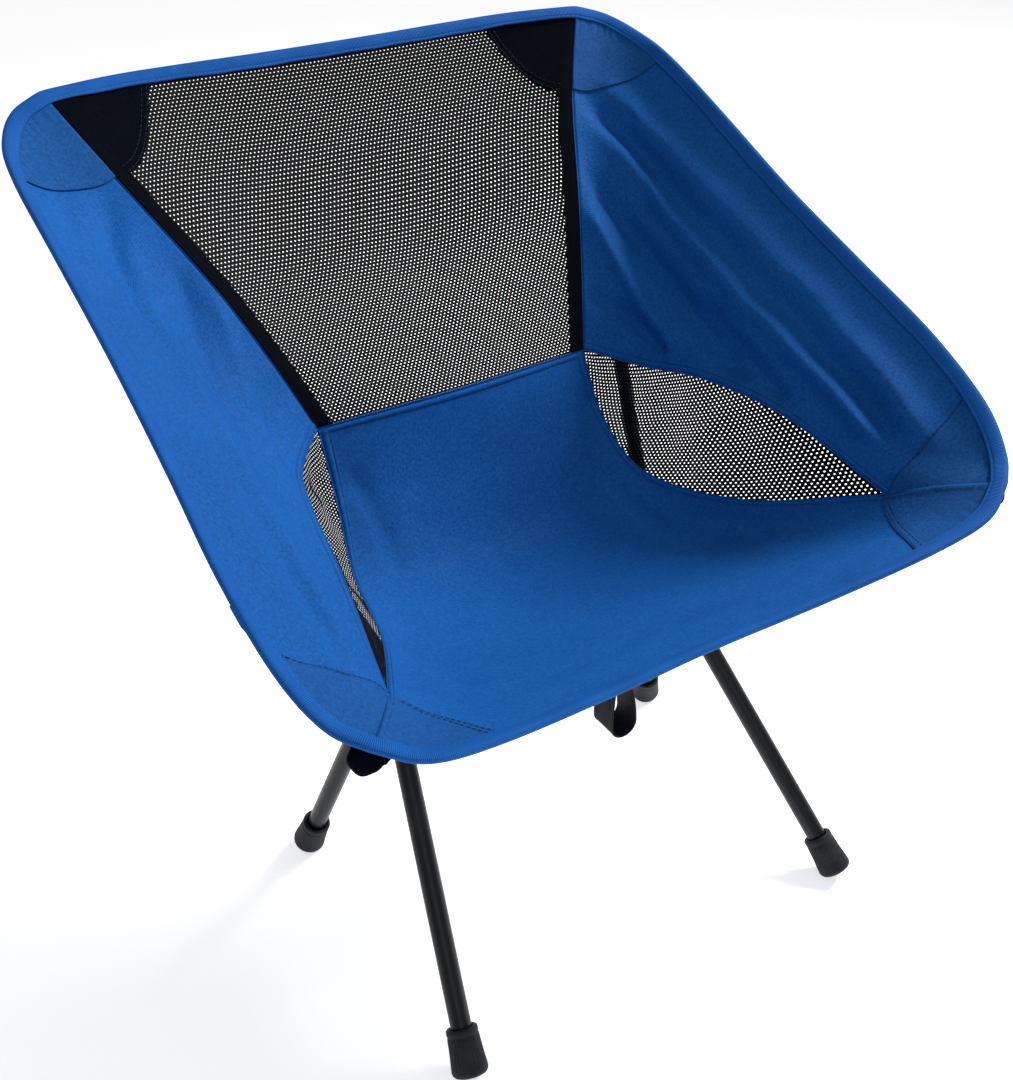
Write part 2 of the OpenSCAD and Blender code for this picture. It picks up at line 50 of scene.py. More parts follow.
TOP_CORNER = (232, 245, 641.5)
FRONT_CORNER = (238, -266, 393)
LUMBAR_END = (121, 76, 405)
VENT_TIP = (199, -198, 365)
TOP_HALF = [(0, 277, 638), (58, 275.5, 638.5), (116, 271, 640), (174, 262, 641.5), TOP_CORNER]
SIDE_EDGE = [
    TOP_CORNER, (256, 232, 633), (271, 205, 620), (276, 165, 604), (274, 92, 571), (271, 2, 528),
    (271, -88, 488), (272, -158, 456), (267, -216, 425), (255, -248, 403), FRONT_CORNER,
]
FRONT_HALF = [(0, -254, 350), (85, -262, 356), (165, -274, 369), (211, -277, 380), FRONT_CORNER]
BACK_SEAM = [LUMBAR_END, (140, 104, 458), (163, 141, 512), (200, 204, 582), TOP_CORNER]
LUMBAR_HALF = [(0, 65, 409), (60, 68, 408), LUMBAR_END]
VENT_LOW = [LUMBAR_END, (124, 50, 351), (136, 4, 314), (158, -93, 326), VENT_TIP]
VENT_HIGH = [LUMBAR_END, (152, 34, 396), (170, -28, 401), (184, -108, 395), VENT_TIP]
CORNER_SEAM = [VENT_TIP, (215, -230, 381), FRONT_CORNER]
MIRROR = np.array([-1.0, 1.0, 1.0])


def both_halves(half):
    """A full-width edge, from the left wing to the right wing."""
    half = np.array(half, float)
    return np.vstack([half[:0:-1] * MIRROR, half])


def curve(points):
    """A function from t in 0..1 to points in metres on a smooth curve through the given points."""
    pts = np.array(points, float) * MM
    ends = np.vstack([2 * pts[0] - pts[1], pts, 2 * pts[-1] - pts[-2]])
    spans = len(pts) - 1

    def at(t):
        t = np.asarray(t, float)
        i = np.clip(np.floor(t * spans).astype(int), 0, spans - 1)
        s = (t * spans - i)[..., None]
        a, b, c, d = (ends[i + k] for k in range(4))
        return 0.5 * (
            2 * b + (c - a) * s + (2 * a - 5 * b + 4 * c - d) * s**2 + (3 * b - a - 3 * c + d) * s**3
        )

    return at


top_edge, front_edge, lumbar = (curve(both_halves(h)) for h in (TOP_HALF, FRONT_HALF, LUMBAR_HALF))
side_edge, back_seam, corner_seam = curve(SIDE_EDGE), curve(BACK_SEAM), curve(CORNER_SEAM)
vent_low, vent_high = curve(VENT_LOW), curve(VENT_HIGH)


def seat_side(v):
    """The seat's side edge: down the vent, then up the corner seam."""
    v = np.asarray(v, float)
    low = vent_low(np.clip(v / 0.8, 0, 1))
    return np.where((v < 0.8)[..., None], low, corner_seam(np.clip((v - 0.8) / 0.2, 0, 1)))


def filled(c0, c1, d0, d1, u, v):
    """A surface filled in between four edges: u runs along c0 and c1, v along d0 and d1."""
    a, b = u[..., None], v[..., None]
    p00, p10, p01, p11 = c0(0.0), c0(1.0), c1(0.0), c1(1.0)
    mean = (1 - a) * (1 - b) * p00 + a * (1 - b) * p10 + (1 - a) * b * p01 + a * b * p11
    return (1 - b) * c0(u) + b * c1(u) + (1 - a) * d0(v) + a * d1(v) - mean


def belly(u, v):
    """A panel's share of its sag: 1 in the middle and 0 at the edges."""
    return (16 * u * (1 - u) * v * (1 - v))[..., None]


def back(u, v):
    sag = belly(u, v) * np.array([0, 0.72, -0.69]) * 22 * MM
    return filled(lumbar, top_edge, lambda t: back_seam(t) * MIRROR, back_seam, u, v) + sag


def seat(u, v):
    sag = belly(u, v) * np.array([0, 0, -1]) * 14 * MM
    return filled(lumbar, front_edge, lambda t: seat_side(t) * MIRROR, seat_side, u, v) + sag


def wing(u, v):
    sag = belly(u, v) * np.array([0.45, -0.1, -0.6]) * 5 * MM
    return filled(vent_high, side_edge, back_seam, corner_seam, u, v) + sag


def vent(u, v):
    sag = belly(u, v) * np.array([0.7, 0, -0.6]) * 6 * MM
    return (1 - v[..., None]) * vent_low(u) + v[..., None] * vent_high(u) + sag


def lifted(surface, u, v, height, step=1e-3):
    """Points on a surface, moved along its normal by height."""
    a, b = np.clip(u, step, 1 - step), np.clip(v, step, 1 - step)
    along_u = surface(a + step, b) - surface(a - step, b)
    along_v = surface(a, b + step) - surface(a, b - step)
    normal = np.cross(along_u, along_v)
    normal /= np.maximum(np.linalg.norm(normal, axis=-1, keepdims=True), 1e-12)
    return surface(u, v) + normal * np.asarray(height)[..., None]


# ---- Mesh helpers ----------------------------------------------------------------------------------

def make_object(name, points, faces, weave=None):
    """A mesh object. weave holds each point's place in the cloth, in metres, for the weave's pattern."""
    mesh = bpy.data.meshes.new(name)
    mesh.from_pydata(np.asarray(points, float).reshape(-1, 3).tolist(), [], np.asarray(faces).tolist())
    mesh.polygons.foreach_set("use_smooth", [True] * len(mesh.polygons))
    if weave is not None:
        corner = np.empty(len(mesh.loops), int)
        mesh.loops.foreach_get("vertex_index", corner)
        layer = mesh.uv_layers.new(name="weave")
        layer.data.foreach_set("uv", np.asarray(weave, float).reshape(-1, 2)[corner].ravel())
    mesh.update()
    obj = bpy.data.objects.new(name, mesh)
    bpy.context.scene.collection.objects.link(obj)
    return obj


def grid_faces(rows, cols, flip=False, wrap_rows=False, wrap_cols=False):
    """Quads over a grid of points; wrap closes the grid on itself."""
    i, j = np.meshgrid(
        np.arange(rows if wrap_rows else rows - 1), np.arange(cols if wrap_cols else cols - 1), indexing="ij"
    )
    i1, j1 = (i + 1) % rows, (j + 1) % cols
    quads = np.stack([i * cols + j, i1 * cols + j, i1 * cols + j1, i * cols + j1], -1).reshape(-1, 4)
    return quads[:, ::-1] if flip else quads


def cloth_places(points):
    """Each grid point's place in the flat cloth, from the distances along the grid."""
    rows, cols = points.shape[:2]
    across = np.zeros((rows, cols))
    across[1:] = np.cumsum(np.linalg.norm(np.diff(points, axis=0), axis=-1), axis=0)
    across -= across[rows // 2]
    along = np.zeros(cols)
    along[1:] = np.cumsum(np.linalg.norm(np.diff(points[rows // 2], axis=0), axis=-1))
    return np.stack([across, np.broadcast_to(along, (rows, cols))], -1)


def thicken(obj, thickness, offset=-1.0):
    """Gives a sheet its thickness, on the side away from its normals unless offset says otherwise."""
    solid = obj.modifiers.new("thickness", "SOLIDIFY")
    solid.thickness = thickness
    solid.offset = offset
    return obj


def smooth_step(x):
    x = np.clip(x, 0, 1)
    return x * x * (3 - 2 * x)


def ridge(distance, centre, width):
    return np.exp(-(((distance - centre) / width) ** 2))


def to_polyline(x, y, points):
    """Distance from each (x, y) to a polyline, and how far along it the nearest place is, from 0 to 1."""
    p = np.array(points, float)
    seg = np.diff(p, axis=0)
    length = np.linalg.norm(seg, axis=1)
    start = np.concatenate([[0], np.cumsum(length)])
    best, where = np.full(np.shape(x), 1e9), np.zeros(np.shape(x))
    for a, d, l, s in zip(p[:-1], seg, length, start):
        t = np.clip(((x - a[0]) * d[0] + (y - a[1]) * d[1]) / (l * l), 0, 1)
        dist = np.hypot(x - a[0] - t * d[0], y - a[1] - t * d[1])
        nearer = dist < best
        best = np.where(nearer, dist, best)
        where = np.where(nearer, (s + t * l) / start[-1], where)
    return best, where


class Panel:
    """One patch of the cover: its surface, which way is up, and the relief of its hems, seams and folds."""

    def __init__(self, surface, up, relief=None, side="right"):
        self.surface, self.up, self.relief, self.side = surface, up, relief, side
        line = np.linspace(0, 1, 41)
        u, v = np.meshgrid(line, line, indexing="ij")
        p = surface(u, v)
        self.line = line
        self.widths = np.linalg.norm(np.diff(p, axis=0), axis=-1).sum(0)
        self.lengths = np.linalg.norm(np.diff(p, axis=1), axis=-1).sum(1)

        run = np.linalg.norm(np.diff(p, axis=0), axis=-1).cumsum(0)
        run = np.vstack([np.zeros((1, 41)), run]) / run[-1]
        self.even = np.stack([np.interp(line, run[:, j], line) for j in range(41)], 1)

    def even_u(self, share, v):
        """The u that lies at a share of the way across the cloth at v."""
        row, col = np.clip(share, 0, 1) * 40, np.clip(v, 0, 1) * 40
        i, j = np.minimum(row.astype(int), 39), np.minimum(col.astype(int), 39)
        a, b, e = row - i, col - j, self.even
        low = e[i, j] * (1 - b) + e[i, j + 1] * b
        return low * (1 - a) + (e[i + 1, j] * (1 - b) + e[i + 1, j + 1] * b) * a

    def len_u(self, v):
        return np.interp(v, self.line, self.widths)

    def len_v(self, u):
        return np.interp(u, self.line, self.lengths)

    def at(self, u, v, above=0.0):
        u, v = np.broadcast_arrays(np.asarray(u, float), np.asarray(v, float))
        height = above if self.relief is None else self.relief(self, u, v) + above
        p = lifted(self.surface, u, v, self.up * height * np.ones_like(u))
        return p * MIRROR if self.side == "left" else p

    def frame_at(self, u, v, above=0.0):
        """Points a little above the cloth, and the directions straight up from it."""
        p = self.at(u, v, above)
        up = self.at(u, v, above + MM) - p
        return p, up / np.linalg.norm(up, axis=-1, keepdims=True)

    def sheet(self, name, us, vs, above=0.0, thickness=0.8 * MM):
        """A cloth object over a grid of (u, v), given as two arrays of the grid's shape."""
        p = self.at(us, vs, above)
        flip = (self.up < 0) != (self.side == "left")
        obj = make_object(name, p, grid_faces(*us.shape, flip=flip), cloth_places(p))
        return thicken(obj, thickness)

    def grid(self, start_u, end_u, count_u, start_v, end_v, count_v):
        """Grid fractions with rows at set distances, in millimetres, from each edge and even rows between."""
        def fractions(length, start, end, count):
            s, e = np.array(start) * MM / length, 1 - np.array(end[::-1]) * MM / length
            return np.concatenate([s, np.linspace(s[-1], e[0], count + 2)[1:-1], e])

        rows, cols = len(start_u) + count_u + len(end_u), len(start_v) + count_v + len(end_v)
        u, v = np.empty((rows, cols)), np.empty((rows, cols))
        for j, at in enumerate(np.linspace(0, 1, cols)):
            u[:, j] = fractions(self.len_u(at), start_u, end_u, count_u)
        for i in range(rows):
            v[i] = fractions(self.len_v(np.clip(u[i, cols // 2], 0, 1)), start_v, end_v, count_v)
        return u, v


# ---- Relief of hems, seams and folds -----------------------------------------------------------------

# The rows of stitches, in millimetres from the cloth's edge.
HEM_STITCHES = (1.8, 7.8)
SIDE_STITCH = 2.2
PATCH_STITCHES = (2.0, 6.5)
BAND_STITCHES = (1.8, 10.2)

# How deep the folds are: shallower in the left wing, as the photo shows.
WING_FOLD_SCALE = {"right": 3.4, "left": 1.3}
SEAT_FOLD_SCALE = 2.2

def edge_distances(panel, u, v):
    """Distances in millimetres from a panel's u = 0, u = 1, v = 0 and v = 1 edges."""
    width, length = panel.len_u(v) / MM, panel.len_v(u) / MM
    return u * width, (1 - u) * width, v * length, (1 - v) * length


def hem(distance, width=9.5, height=1.0, rows=HEM_STITCHES):
    """A turned and double-stitched hem, by the distance from its edge in millimetres."""
    raised = height * smooth_step((width - distance) / 1.2)
    return (raised - sum(1.1 * ridge(distance, row, 0.85) for row in rows)) * MM


# Soft folds: start, middle and end in (u, v), then width and height in millimetres.
WING_FOLDS = [
    ((0.05, 0.80), (0.40, 0.70), (0.90, 0.60), 15, 2.2),
    ((0.00, 0.75), (0.40, 0.60), (0.90, 0.45), 11, -3.2),
    ((0.00, 0.70), (0.50, 0.50), (0.90, 0.30), 11.5, 2.8),
    ((0.00, 0.60), (0.30, 0.35), (0.60, 0.10), 12, -3.2),
    ((0.40, 0.35), (0.55, 0.25), (0.70, 0.10), 7, -1.5),
    ((0.00, 0.50), (0.20, 0.25), (0.40, 0.10), 12, 2.4),
    ((0.00, 0.20), (0.20, 0.15), (0.35, 0.05), 8, -1.8),
]
SEAT_FOLDS = [
    ((0.90, 0.30), (0.80, 0.50), (0.80, 0.65), 12, -1.6),
    ((0.95, 0.75), (0.85, 0.70), (0.75, 0.70), 10, 0.9),
    ((0.05, 0.10), (0.15, 0.25), (0.20, 0.40), 12, -0.9),
    ((0.05, 0.75), (0.15, 0.70), (0.25, 0.75), 9, -0.7),
    ((0.30, 0.95), (0.50, 0.90), (0.70, 0.95), 16, -0.8),
]


def folds(panel, u, v, lines, scale=1.0):
    """The height of soft folds, each fading out at its ends."""
    x, y = u * panel.len_u(0.5) / MM, v * panel.len_v(u) / MM
    total = np.zeros(np.shape(u))
    t = np.linspace(0, 1, 9)[:, None]
    for start, middle, end, width, height in lines:
        # The parabola that is at its middle point half-way.
        p = np.array(start) * (1 - t) * (1 - 2 * t) + np.array(middle) * 4 * t * (1 - t)
        p = p + np.array(end) * t * (2 * t - 1)
        line = np.stack([p[:, 0] * panel.len_u(0.5), p[:, 1] * panel.len_v(p[:, 0])], 1) / MM
        distance, along = to_polyline(x, y, line)
        ends = smooth_step(along / 0.18) * smooth_step((1 - along) / 0.12)
        total += height * ridge(distance, 0, width) * ends
    return total * scale * MM


def pucker(distance, along, depth=0.3):
    """Small ripples in the cloth beside the binding's seam."""
    wave = np.sin(along / 2.3 + 1.3 * np.sin(along / 9.1)) + 0.5 * np.sin(along / 5.2)
    return depth * MM * wave * ridge(distance, 14.5, 6)


def wing_relief(panel, u, v):
    u0, u1, v0, v1 = edge_distances(panel, u, v)
    clear = smooth_step((v0 - 5) / 16) * smooth_step((v1 - 8) / 16) * smooth_step((u1 + 10) / 30)
    soft = folds(panel, u, v, WING_FOLDS, WING_FOLD_SCALE[panel.side]) * clear
    seams = hem(v0) + hem(u0, 7, 0.35, (SIDE_STITCH,)) + 0.5 * hem(u1, 2, 0.3, ())
    return soft + seams + pucker(v1, u0)


def seat_relief(panel, u, v):
    u0, u1, v0, v1 = edge_distances(panel, u, v)
    side = np.minimum(u0, u1)
    clear = smooth_step((side - 5) / 16) * smooth_step((v0 - 5) / 16) * smooth_step((v1 - 8) / 16)
    soft = folds(panel, u, v, SEAT_FOLDS, SEAT_FOLD_SCALE) * clear
    return soft + np.maximum(hem(side), hem(v0, 8.5)) + pucker(v1, u0)


def back_relief(panel, u, v):
    wave = 1.3 * np.sin(9 * u + 4 * v) * np.sin(7 * v + 1.5) + 0.8 * np.sin(15 * u - 9 * v)
    return wave * MM * belly(u, v)[..., 0]


def vent_relief(panel, u, v):
    wave = 2.2 * np.sin(26 * u + 5 * v) + 1.2 * np.sin(47 * u - 7 * v + 1)
    return wave * MM * belly(u, v)[..., 0]


# HALF_BACK and HALF_SEAT carry pieces of both sides: laid out on the right half, mirrored for the left.
BACK = Panel(back, 1, back_relief)
SEAT = Panel(seat, -1, seat_relief)
WINGS = {side: Panel(wing, 1, wing_relief, side) for side in SIDES}
VENTS = {side: Panel(vent, -1, vent_relief, side) for side in SIDES}
HALF_BACK = {side: Panel(back, 1, back_relief, side) for side in SIDES}
HALF_SEAT = {side: Panel(seat, -1, seat_relief, side) for side in SIDES}


# ---- Stitches ----------------------------------------------------------------------------------------

class Seams:
    """Collects stitch lines and makes them one object of short thread pieces."""

    def __init__(self):
        self.points, self.faces, self.count = [], [], 0

    def add(self, line, up, stitch=3.3 * MM, gap=1.0 * MM, radius=0.24 * MM):
        """Stitches along a line of points, with the direction up from the cloth at each."""
        steps = np.linalg.norm(np.diff(line, axis=0), axis=1)
        place = np.concatenate([[0], np.cumsum(steps)])
        starts = np.arange(0.5 * gap, place[-1] - stitch, stitch + gap)
        if not len(starts):
            return
        profile = np.array([
            (0, -0.35, 0.15), (0.12, 0.1, 0.8), (0.5, 0.45, 1), (0.88, 0.1, 0.8), (1, -0.35, 0.15),
        ])
        at = starts[:, None] + profile[:, 0] * stitch
        centre = np.stack([np.interp(at, place, line[:, k]) for k in range(3)], -1)
        above = np.stack([np.interp(at, place, up[:, k]) for k in range(3)], -1)
        above /= np.linalg.norm(above, axis=-1, keepdims=True)
        travel = centre[:, -1:] - centre[:, :1]
        travel = travel / np.linalg.norm(travel, axis=-1, keepdims=True)
        across = np.cross(travel, above)
        centre = centre + above * (profile[:, 1] * radius)[None, :, None]
        turn = np.arange(6) * math.tau / 6
        ring = (
            np.cos(turn)[None, None, :, None] * across[:, :, None, :]
            + np.sin(turn)[None, None, :, None] * above[:, :, None, :]
        )
        p = centre[:, :, None, :] + ring * (profile[:, 2] * radius)[None, :, None, None]
        one = grid_faces(len(profile), 6, wrap_cols=True)
        size = len(profile) * 6
        for n in range(len(starts)):
            self.faces.append(one + self.count + n * size)
        self.points.append(p.reshape(-1, 3))
        self.count += len(starts) * size

    def on(self, panel, u, v, above=0.1 * MM, **kinds):
        """Stitches along a line of (u, v) on a panel."""
        self.add(*panel.frame_at(np.asarray(u, float), np.asarray(v, float), above), **kinds)

    def build(self, name):
        return make_object(name, np.vstack(self.points), np.vstack(self.faces))


# ---- Materials ---------------------------------------------------------------------------------------

class Look:
    """A material made of nodes, with short names for what the looks share."""

    def __init__(self, name, **values):
        self.material = bpy.data.materials.new(name)
        self.material.use_nodes = True
        self.surface = self.material.node_tree.nodes["Principled BSDF"]
        self.set(self.surface, values)

    def set(self, node, values):
        for key, value in values.items():
            socket = node.inputs[key if isinstance(key, int) else key.replace("_", " ")]
            if isinstance(value, bpy.types.NodeSocket):
                self.material.node_tree.links.new(value, socket)
            else:
                socket.default_value = value

    def node(self, kind, settings=(), **values):
        node = self.material.node_tree.nodes.new("ShaderNode" + kind)
        for key, value in dict(settings).items():
            setattr(node, key, value)
        self.set(node, values)
        return node

    def math(self, operation, first, second=0.0, third=0.0):
        node = self.node("Math", {"operation": operation})
        self.set(node, {0: first, 1: second, 2: third})
        return node.outputs[0]

    def noise(self, scale, detail=3.0, stretch=None):
        where = self.node("TexCoord").outputs["Object"]
        if stretch is not None:
            where = self.node("Mapping", Vector=where, Scale=stretch).outputs[0]
        return self.node("TexNoise", Vector=where, Scale=scale, Detail=detail).outputs["Fac"]

    def blend(self, factor, first, second):
        node = self.node("Mix", {"data_type": "RGBA"})
        self.set(node, {0: factor, 6: (*first, 1), 7: (*second, 1)})
        return node.outputs[2]

    def between(self, value, low, high, start=0.0, end=1.0):
        node = self.node("MapRange", Value=value)
        self.set(node, {1: start, 2: end, 3: low, 4: high})
        return node.outputs[0]

    def bump(self, height, distance, strength=1.0, below=None):
        values = {"Height": height, "Distance": distance, "Strength": strength}
        if below is not None:
            values["Normal"] = below
        return self.node("Bump", **values).outputs[0]

    def finish(self, colour, roughness, normal):
        self.set(self.surface, {"Base_Color": colour, "Roughness": roughness, "Normal": normal})
        return self.material


def woven(name, dark, light, pitch, rough=(0.6, 0.8), shine=0.14, sheen=0.05, depth=0.25 * MM):
    """Plain-weave cloth: threads over and under each other, in the cloth's own flat coordinates."""
    look = Look(
        name, Sheen_Weight=sheen, Sheen_Roughness=0.45, Sheen_Tint=(*(min(3 * c, 1) for c in light), 1),
        Specular_IOR_Level=shine,
    )
    flat = look.node("SeparateXYZ", Vector=look.node("UVMap", {"uv_map": "weave"}).outputs[0])
    turns = [look.math("MULTIPLY", flat.outputs[k], math.pi / pitch) for k in range(2)]
    wave = [look.math("SINE", t) for t in turns]
    humps = [look.math("ABSOLUTE", w) for w in wave]
    over = look.math("GREATER_THAN", look.math("MULTIPLY", *wave), 0.0)
    threads = [
        look.math("MULTIPLY", humps[k], look.math("MULTIPLY_ADD", humps[1 - k], 0.4, 0.6)) for k in range(2)
    ]
    weave = look.node("Mix", {"data_type": "FLOAT"})
    look.set(weave, {0: over, 2: threads[0], 3: threads[1]})
    slow, fine = look.noise(9.0, 4.0), look.noise(480.0, 3.0)
    tone = look.math("MULTIPLY_ADD", weave.outputs[0], 0.4, look.math("MULTIPLY_ADD", slow, 0.6, -0.80))
    tone = look.math("MULTIPLY_ADD", fine, 1.6, tone)
    grain = look.bump(fine, 0.35 * MM, 0.6)
    crease = look.bump(look.noise(34.0, 3.0), 1.2 * MM, 0.5, grain)
    return look.finish(
        look.blend(tone, dark, light),
        look.between(look.noise(55.0), *rough),
        look.bump(weave.outputs[0], depth, 0.7, crease),
    )


def ribbed(name, dark, light, pitch, shine=0.14):
    """Webbing and grosgrain: close ribs across the tape, with the edge threads showing between."""
    look = Look(name, Specular_IOR_Level=shine)
    flat = look.node("SeparateXYZ", Vector=look.node("UVMap", {"uv_map": "weave"}).outputs[0])
    rib = look.math("ABSOLUTE", look.math("SINE", look.math("MULTIPLY", flat.outputs[1], math.pi / pitch)))
    thread = look.math("ABSOLUTE", look.math("SINE", look.math("MULTIPLY", flat.outputs[0], 2200.0)))
    height = look.math("MULTIPLY_ADD", thread, 0.25, rib)
    tone = look.math("MULTIPLY_ADD", height, 0.4, look.math("MULTIPLY_ADD", look.noise(30.0), 0.5, -0.1))
    fuzz = look.bump(look.noise(700.0, 2.0), 0.1 * MM, 0.4)
    return look.finish(
        look.blend(tone, dark, light),
        look.between(look.noise(80.0), 0.55, 0.8),
        look.bump(height, 0.3 * MM, 1.0, fuzz),
    )


def net_yarn():
    look = Look("net_yarn", Specular_IOR_Level=0.06)
    knit = look.noise(1500.0, 2.0, (1.0, 0.35, 0.35))
    tone = look.math("MULTIPLY_ADD", knit, 0.6, look.math("MULTIPLY_ADD", look.noise(14.0), 0.5, -0.15))
    return look.finish(
        look.blend(tone, (0.001, 0.001, 0.002), (0.008, 0.008, 0.010)),
        look.between(knit, 0.55, 0.8),
        look.bump(knit, 0.25 * MM, 0.8),
    )


def tube_finish():
    """Satin black anodising: an even coat with a fine drawn grain, dust and faint rubs."""
    look = Look("black_anodised", Specular_IOR_Level=0.28, Coat_Weight=0.06, Coat_Roughness=0.25)
    speck = look.noise(900.0, 2.0)
    rub = look.between(look.noise(22.0, 6.0, (1.0, 1.0, 0.4)), 0.0, 1.0, 0.56, 0.72)
    return look.finish(
        look.blend(rub, (0.002, 0.003, 0.005), (0.008, 0.010, 0.014)),
        look.math("MULTIPLY_ADD", speck, 0.12, look.between(rub, 0.30, 0.42)),
        look.bump(speck, 0.02 * MM, 0.35),
    )


def moulded(name, dark, light, rough, grain=420.0, depth=0.08 * MM):
    """Moulded plastic or rubber: spark-eroded grain, with scuffs that catch the light."""
    look = Look(name, Specular_IOR_Level=0.25)
    where = look.node("TexCoord").outputs["Object"]
    texture = look.node("TexVoronoi", Vector=where, Scale=grain).outputs["Distance"]
    scuff = look.between(look.noise(45.0, 7.0), 0.0, 1.0, 0.55, 0.75)
    soft = look.bump(look.noise(60.0, 3.0), 0.25 * MM, 0.25)
    return look.finish(
        look.blend(look.math("MULTIPLY_ADD", scuff, 0.7, look.math("MULTIPLY", texture, 0.4)), dark, light),
        look.math("MULTIPLY_ADD", scuff, 0.12, rough),
        look.bump(texture, depth, 0.6, soft),
    )


def bare_metal(name, colour, rough):
    look = Look(name, Metallic=1.0, Anisotropic=0.35)
    scratch = look.noise(500.0, 3.0, (1.0, 1.0, 0.06))
    shade = tuple(0.7 * c for c in colour)
    return look.finish(
        look.blend(look.noise(60.0, 4.0), shade, colour),
        look.math("MULTIPLY_ADD", scratch, 0.2, rough),
        look.bump(scratch, 0.02 * MM, 0.5),
    )


BLUE = woven("blue_cloth", (0.002, 0.060, 0.25), (0.006, 0.135, 0.50), 0.9 * MM)
# The pockets' cloth is the blue cloth made darker: painted shade for the two layers of cloth that let less
# light through.
POCKET_BLUE_PAINTED_SHADE = woven("blue_pocket_cloth_painted_shade", (0.002, 0.050, 0.20), (0.007, 0.113, 0.40), 0.9 * MM)
BLACK = woven("black_cloth", (0.0004, 0.0010, 0.0028), (0.002, 0.004, 0.010), 0.9 * MM, shine=0.02, sheen=0.0)
TAPE = ribbed("black_grosgrain", (0.0004, 0.0010, 0.0024), (0.003, 0.005, 0.010), 1.0 * MM, shine=0.03)
BINDING = ribbed("blue_grosgrain", (0.002, 0.050, 0.24), (0.008, 0.155, 0.58), 1.2 * MM)
STRAP = ribbed("black_webbing", (0.003, 0.003, 0.004), (0.022, 0.022, 0.025), 1.7 * MM)
NET = net_yarn()
BLUE_THREAD = moulded("blue_thread", (0.001, 0.026, 0.13), (0.004, 0.062, 0.27), 0.5, 2600.0)
LIGHT_THREAD = moulded("light_blue_thread", (0.010, 0.12, 0.42), (0.030, 0.27, 0.82), 0.5, 2600.0)
BLACK_THREAD = moulded("black_thread", (0.006, 0.010, 0.026), (0.022, 0.036, 0.085), 0.5, 2600.0)
TUBE = tube_finish()
PLASTIC = moulded("black_plastic", (0.005, 0.005, 0.006), (0.024, 0.024, 0.027), 0.42)
RUBBER = moulded("black_rubber", (0.005, 0.006, 0.009), (0.023, 0.026, 0.034), 0.6, 300.0, 0.12 * MM)
STEEL = bare_metal("steel", (0.56, 0.56, 0.58), 0.28)
ALUMINIUM = bare_metal("aluminium", (0.78, 0.78, 0.80), 0.3)
CORD = moulded("cord_cover", (0.02, 0.02, 0.022), (0.10, 0.10, 0.105), 0.6, 900.0, 0.2 * MM)


# ---- Netting -----------------------------------------------------------------------------------------

def netting(name, panel, place, width, length, pitch=3.5 * MM, hole=0.185):
    """Netting with real holes, six-sided. place turns (s, t) in metres in the flat net into (u, v)."""
    row = pitch * math.sqrt(3) / 2
    rows = np.arange(-1, int(length / row) + 2)
    cols = np.arange(-int(width / pitch / 2) - 2, int(width / pitch / 2) + 3)
    i, j = np.meshgrid(cols, rows, indexing="ij")
    centre = np.stack([(i + 0.5 * (j % 2)) * pitch, j * row], -1).reshape(-1, 1, 2)
    turn = math.radians(30) + np.arange(6) * math.tau / 6
    ring = np.stack([np.cos(turn), np.sin(turn)], -1) * pitch
    flat = (centre + np.vstack([ring / math.sqrt(3), ring * hole * [1.08, 0.94]])[None]).reshape(-1, 2)
    depth = np.tile(np.r_[np.zeros(6), np.full(6, -0.25 * MM)], len(centre))
    side_faces = np.array([(k, (k + 1) % 6, 6 + (k + 1) % 6, 6 + k) for k in range(6)])
    faces = (np.arange(len(centre))[:, None, None] * 12 + side_faces[None]).reshape(-1, 4)
    u, v = place(flat[:, 0], flat[:, 1])
    outside = (u < 0) | (u > 1) | (v < 0) | (v > 1)
    faces = faces[~outside[faces].all(1)]
    points = panel.at(np.clip(u, 0, 1), np.clip(v, 0, 1), depth)
    _, first, same = np.unique(np.round(points / 2e-6), axis=0, return_index=True, return_inverse=True)
    faces = same.reshape(-1)[faces]
    points, flat = points[first], flat[first]
    a, b, c, d = (points[faces[:, k]] for k in range(4))
    faces = faces[np.linalg.norm(np.cross(c - a, d - b), axis=1) > 1e-9]
    if (panel.up < 0) != (panel.side == "left"):
        faces = faces[:, ::-1]
    return make_object(name, points, faces, flat)


def dress(obj, material, slot, *nodes, body="chair"):
    """Gives a piece its material, lets it ride its body, and hides the CAD nodes it stands for. The slot is
    not used.
    """
    obj.data.materials.append(material)
    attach(obj, body)
    if nodes:
        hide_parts(*nodes)
    return obj


back_length, back_width = BACK.len_v(0.5), BACK.widths.max()


def back_place(s, t):
    v = t / back_length
    share = 0.5 + s / BACK.len_u(np.clip(v, 0, 1))
    return np.where((share > 0) & (share < 1), BACK.even_u(share, v), share), v


back_net = netting("back_netting", BACK, back_place, back_width, back_length)
dress(back_net, NET, "black_mesh", "back_mesh")

for side, panel in VENTS.items():
    long_way, tall = panel.len_u(0.5), panel.lengths.max()
    net = netting(
        "vent_netting_" + side, panel,
        lambda s, t: (t / long_way, 0.5 + s / np.maximum(panel.len_v(np.clip(t / long_way, 0, 1)), 1 * MM)),
        tall, long_way, hole=0.20,
    )
    dress(net, NET, "black_mesh", "vent_mesh_" + side)


# ---- Cloth panels ------------------------------------------------------------------------------------

# Rows of the cloth's grid, in millimetres from an edge: close together where a hem or a seam needs them.
HEM_ROWS = [0, 0.7, 1.3, 1.8, 2.3, 3.1, 4.8, 6.6, 7.3, 7.8, 8.3, 9.0, 9.8, 11.0]
PLAIN_ROWS = [0, 1.2, 1.8, 2.4, 3.6, 6.0]

seams = {"blue": Seams(), "light": Seams(), "black": Seams()}
seat_cloth = SEAT.sheet("seat_panel_cloth", *SEAT.grid(HEM_ROWS, HEM_ROWS, 62, HEM_ROWS, [0, 4, 8], 58))
dress(seat_cloth, BLUE, "blue_cloth", "seat_panel")

